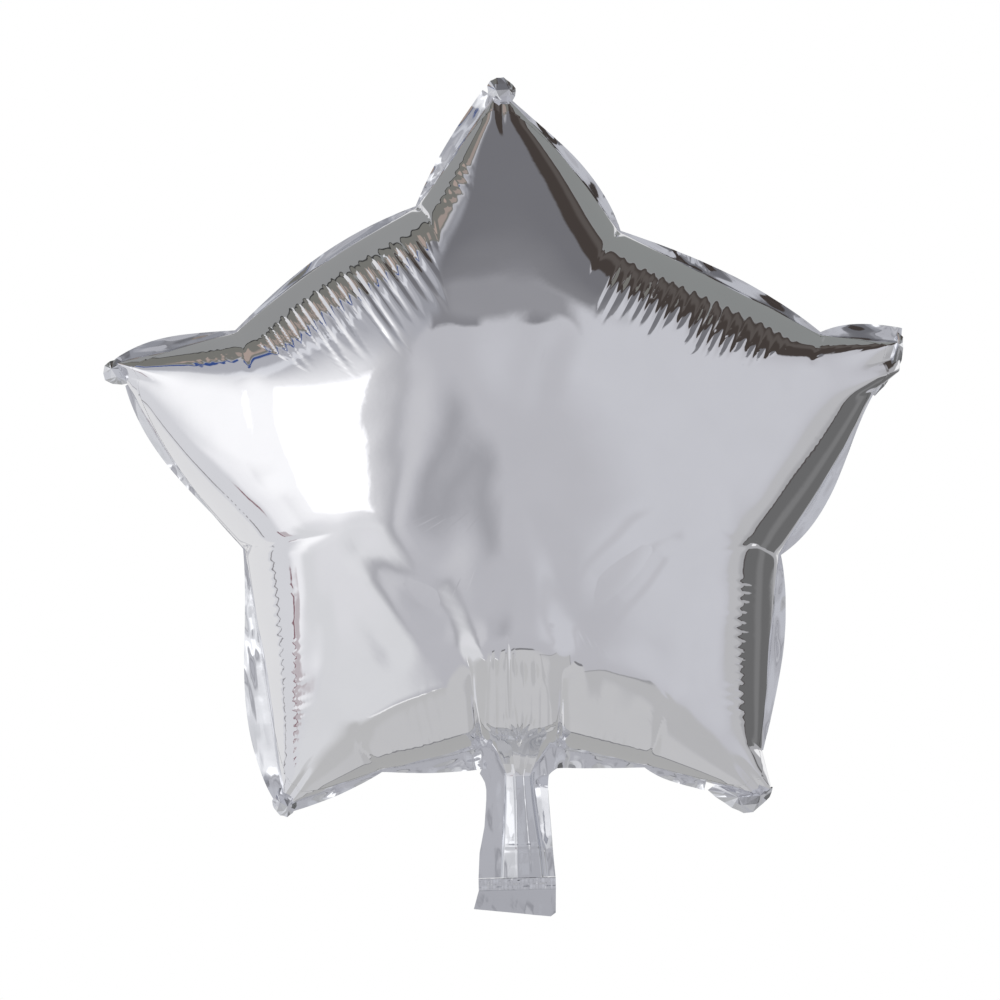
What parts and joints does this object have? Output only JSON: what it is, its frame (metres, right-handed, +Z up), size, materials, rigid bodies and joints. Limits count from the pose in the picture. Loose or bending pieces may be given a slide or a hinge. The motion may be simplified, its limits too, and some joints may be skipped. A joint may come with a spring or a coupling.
{
  "type": "star foil balloon",
  "caption": "Inflated star-shaped foil balloon with a flat welded rim and a short flat tail for filling and tying.",
  "frame": {"origin": "centre of the star, in the plane of the weld between the front and the back film", "axes": "+Z up towards the top tip, away from the tail; +Y back, away from the viewer of the front film; +X right as seen from the front"},
  "size_m": [0.4313, 0.1638, 0.4518],
  "materials": {
    "foil": "metallised plastic film, mirror bright",
    "weld": "two metallised films welded flat, finely wrinkled",
    "valve_film": "clear film, matt from handling"
  },
  "bodies": {
    "root": {"front_film": "foil", "back_film": "foil", "rim_top_right": "weld", "rim_right_upper": "weld", "rim_right_tip": "weld", "rim_right_lower": "weld", "rim_low_right_side": "weld", "rim_low_right_bottom": "weld", "rim_tail_right": "weld", "rim_tail_left": "weld", "rim_low_left_bottom": "weld", "rim_low_left_side": "weld", "rim_left_lower": "weld", "rim_left_tip": "weld", "rim_left_upper": "weld", "rim_top_left": "weld", "tip_cap_top": "weld", "tip_cap_right": "weld", "tip_cap_low_right": "weld", "tip_cap_low_left": "weld", "tip_cap_left": "weld", "tail_front": "foil", "tail_back": "foil", "tail_side_left": "weld", "tail_side_right": "weld", "tail_weld": "weld", "tail_lip_front": "foil", "tail_lip_back": "foil", "valve_sleeve": "valve_film"}
  },
  "joints": []
}
